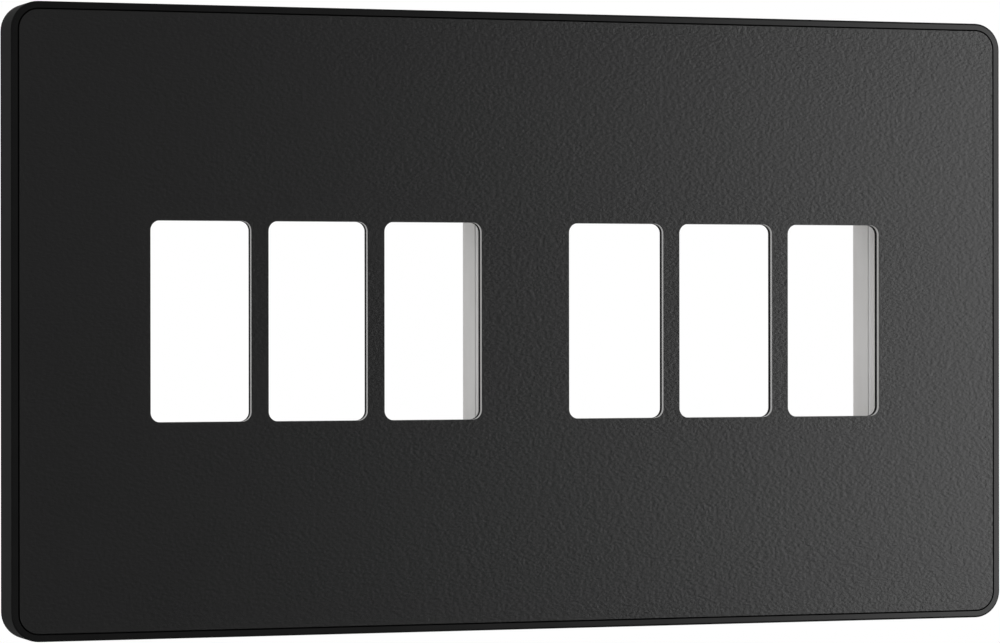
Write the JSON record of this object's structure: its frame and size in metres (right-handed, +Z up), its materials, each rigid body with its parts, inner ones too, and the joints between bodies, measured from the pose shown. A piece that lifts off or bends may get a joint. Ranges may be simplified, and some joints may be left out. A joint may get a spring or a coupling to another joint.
{
  "type": "grid switch plate",
  "caption": "Screwless double grid switch plate: black coated sheet face in a moulded bezel, clipped over a steel yoke with light grey module frames.",
  "frame": {"origin": "midway between the two fixing slots, on the wall plane (the back of the yoke and of the bezel's side wall)", "axes": "+X along the long side, to the right seen from the front; +Y into the wall, so the front faces -Y; +Z up"},
  "size_m": [0.146, 0.015, 0.086],
  "materials": {
    "coated_sheet": "matt black powder coat with fine grain, bare cut edges",
    "black_moulding": "satin black moulded plastic",
    "grey_moulding": "light grey moulded plastic, matt",
    "zinc_steel": "zinc plated sheet steel",
    "screw_steel": "zinc plated steel screws",
    "brass": "plain turned brass",
    "brass_screw": "plain brass screw"
  },
  "bodies": {
    "root": {"face_plate": "coated_sheet", "bezel": "black_moulding", "clip_frame": "grey_moulding", "yoke": "zinc_steel", "cradle_left": "grey_moulding", "cradle_right": "grey_moulding", "cradle_screw_left_1": "screw_steel", "cradle_screw_left_2": "screw_steel", "cradle_screw_left_3": "screw_steel", "cradle_screw_left_4": "screw_steel", "cradle_screw_right_1": "screw_steel", "cradle_screw_right_2": "screw_steel", "cradle_screw_right_3": "screw_steel", "cradle_screw_right_4": "screw_steel", "earth_terminal": "brass", "earth_screw": "brass_screw"}
  },
  "joints": []
}
